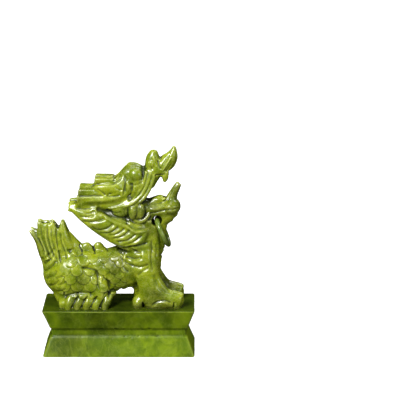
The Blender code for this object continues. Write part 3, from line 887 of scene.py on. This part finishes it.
def carve(obj):
    """Cuts ribs, scales, lips and folds into the stone."""
    links = neighbours(obj.data)
    base = polished(coordinates(obj.data), links, 3, back=0.5)
    place_coordinates(obj.data, base)
    way = polished(outward(obj.data), links, 4)
    way /= np.linalg.norm(way, axis=1)[:, None]
    x, y, z = ((base - np.array(SEAT)) / MM).T
    flank = facing_out(x, z, np.abs(y), 3.0) * eased(np.abs(way[:, 1]), 0.12, 0.5)
    top = facing_out(x, y, z, 2.5) * eased(way[:, 2], 0.45, 0.8) * (1 - 0.6 * flank)
    front = facing_out(y, z, x, 4.0) * eased(way[:, 0], 0.45, 0.8) * (1 - 0.6 * flank)
    back = facing_out(y, z, -x, 4.0) * eased(-way[:, 0], 0.4, 0.75) * (1 - 0.6 * flank)
    push = flank * side_pattern().at(x, z)
    push += top * top_pattern().at(x, y)
    push += front * front_pattern().at(y, z)
    push += back * (x < -45) * back_pattern().at(y, z)
    coat = eased(x, -58, -52) * eased(-x, -9, -5) * eased(z, 9, 14) * eased(-z, -57, -54)
    coat *= 1 - eased(z, 50, 52) * (np.abs(y) < 5) * (x > -38) * (x < -13)
    coat *= 1 - eased(-x, 43, 52) * eased(z, 30, 40)
    bm = bmesh.new()
    bm.from_mesh(obj.data)
    tree = BVHTree.FromBMesh(bm)
    bm.free()
    covered = np.flatnonzero(coat > 0)
    push[covered] += coat[covered] * scale_relief(base[covered], tree)
    push += 0.12 * unevenness(base, 5 * MM, 2.0) + 0.2 * unevenness(base, 14 * MM, 6.0)
    push *= eased(z, 0.0, 1.2)
    carved = polished(base + way * (push * MM)[:, None], links, 1)
    place_coordinates(obj.data, carved)
    return links


def seat_on(obj, height):
    """Grinds the soles flat, a hair into the plinth's top."""
    points = coordinates(obj.data)
    sole = (points[:, 2] < SEAT.z + 0.9 * MM) & (outward(obj.data)[:, 2] < -0.4)
    points[sole, 2] = height
    place_coordinates(obj.data, points)


beast = rough_beast()
stacked(beast, add_head_forms, add_mane_forms, add_body_forms, add_tail_forms)
links = carve(beast)
seat_on(beast, plinth_high.z - 0.2 * MM)
thinned(beast, links, MOST_TRIANGLES)
beast_jade = jade(
    "beast_jade",
    deep=seen(30, 42, 2),
    body=seen(104, 122, 8),
    light=seen(138, 150, 18),
    pale=seen(204, 208, 112),
    cloud=13 * MM,
    streak=1.0,
    roughness=0.27,
    gloss=0.5,
)
finish_stone(beast, "stone", "beast", beast_jade)

# ---------------------------------------------------------------------------------------------------------
# Ring: a loose ring cut free from the same block, so it was never threaded. It is ground round by hand, so
# that its wire swells and thins a little, and it hangs through the hole under the chin.

ring_joint = next(joint for joint in frame["joints"] if joint["child"] == "ring")
ring_low, ring_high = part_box("chin_ring")
hinge = Vector(ring_joint["pos_m"])
RING_WIRE = 4.8 * MM
ring_middle = (ring_low + ring_high) / 2
centre_radius = ring_high.y - RING_WIRE / 2


def ground_ring():
    """A round wire spun about the ring's middle, in the plane that holds the hinge."""
    bm = bmesh.new()
    hang = (ring_middle - hinge).normalized()
    turn = Matrix((hang, Vector((0, 1, 0)), hang.cross(Vector((0, 1, 0))))).transposed().to_4x4()
    wire = bmesh.ops.create_circle(
        bm,
        segments=28,
        radius=RING_WIRE / 2,
        matrix=Matrix.Translation((centre_radius, 0, 0)) @ Matrix.Rotation(math.pi / 2, 4, "X"),
    )["verts"]
    edges = list({edge for vert in wire for edge in vert.link_edges})
    bmesh.ops.spin(bm, geom=wire + edges, axis=(0, 0, 1), angle=2 * math.pi, steps=140, use_merge=True)
    place = Matrix.Translation(hinge + hang * centre_radius) @ turn
    bmesh.ops.transform(bm, matrix=place, verts=bm.verts)
    bmesh.ops.recalc_face_normals(bm, faces=bm.faces)
    return stone_object("ring_stone", bm)


ring = ground_ring()
points = coordinates(ring.data)
swell = 0.22 * unevenness(points, 7 * MM, 1.0) + 0.08 * unevenness(points, 2.5 * MM, 5.0) - 0.16
place_coordinates(ring.data, points + outward(ring.data) * (np.minimum(swell, 0.02) * MM)[:, None])
# The swell stands for relief, so the jade paints a highlight on swollen places and shade on thinned ones.
store_relief_and_shade(ring.data, 0.8 * swell + 0.15, np.zeros(len(points)))
ring_jade = jade(
    "ring_jade",
    deep=seen(38, 54, 12),
    body=seen(94, 116, 34),
    light=seen(120, 140, 58),
    pale=seen(168, 184, 112),
    cloud=9 * MM,
    streak=1.0,
    roughness=0.2,
    gloss=0.5,
)
finish_stone(ring, "ring", "chin_ring", ring_jade)

# ---------------------------------------------------------------------------------------------------------
# Room: a plain pale sweep under soft studio light, and a long lens a little above the figurine, which
# stands left of the middle as one of a facing pair would.

FLOOR_SIZE = 12.0
FLOOR_GLOW = 0.9


def pale_floor():
    """The sweep, bright by itself, which neither tints the stone nor shows in its polish."""
    bm = bmesh.new()
    bmesh.ops.create_grid(bm, x_segments=1, y_segments=1, size=FLOOR_SIZE)
    floor = stone_object("floor", bm)
    material = bpy.data.materials.new("pale_paper")
    material.use_nodes = True
    shader = material.node_tree.nodes["Principled BSDF"]
    shader.inputs["Base Color"].default_value = (0.5, 0.5, 0.5, 1)
    shader.inputs["Roughness"].default_value = 0.9
    shader.inputs["Specular IOR Level"].default_value = 0.1
    shader.inputs["Emission Color"].default_value = (1, 1, 1, 1)
    shader.inputs["Emission Strength"].default_value = FLOOR_GLOW
    floor.data.materials.append(material)
    floor.visible_glossy = False
    floor.visible_diffuse = False


def softbox(name, place, size, power, aim):
    """A square light that faces a point."""
    light = bpy.data.lights.new(name, "AREA")
    light.size = size
    light.energy = power
    obj = bpy.data.objects.new(name, light)
    obj.location = place
    obj.rotation_mode = "QUATERNION"
    obj.rotation_quaternion = (Vector(place) - aim).to_track_quat("Z", "Y")
    bpy.context.scene.collection.objects.link(obj)


pale_floor()
middle = Vector((0, 0, plinth_high.z + 50 * MM))
softbox("key", (-0.7, -1.3, 1.45), 0.6, 58, middle)
softbox("overhead", (0.1, -0.1, 1.8), 0.8, 7, middle)
softbox("rim", (1.0, 1.2, 1.9), 0.8, 13, middle)
softbox("fill", (1.4, -1.1, 0.8), 0.6, 6, middle)
world = bpy.data.worlds.new("studio")
world.use_nodes = True
world.node_tree.nodes["Background"].inputs["Color"].default_value = (1, 1, 1, 1)
world.node_tree.nodes["Background"].inputs["Strength"].default_value = 0.28
bpy.context.scene.world = world
world.cycles_visibility.glossy = False
bpy.context.scene.view_settings.view_transform = "Standard"

LENS = 162.2
CAMERA_DISTANCE = 1.7
CAMERA_ANGLE = math.radians(15)
aim = Vector((77.2 * MM, 0, plinth_high.z + 101.4 * MM))
camera = bpy.data.objects.new("camera", bpy.data.cameras.new("camera"))
camera.data.lens = LENS
camera.data.sensor_width = 36
camera.data.clip_start = 0.05
camera.location = aim + CAMERA_DISTANCE * Vector((0, -math.cos(CAMERA_ANGLE), math.sin(CAMERA_ANGLE)))
camera.rotation_euler = (math.pi / 2 - CAMERA_ANGLE, 0, 0)
bpy.context.scene.collection.objects.link(camera)
bpy.context.scene.camera = camera
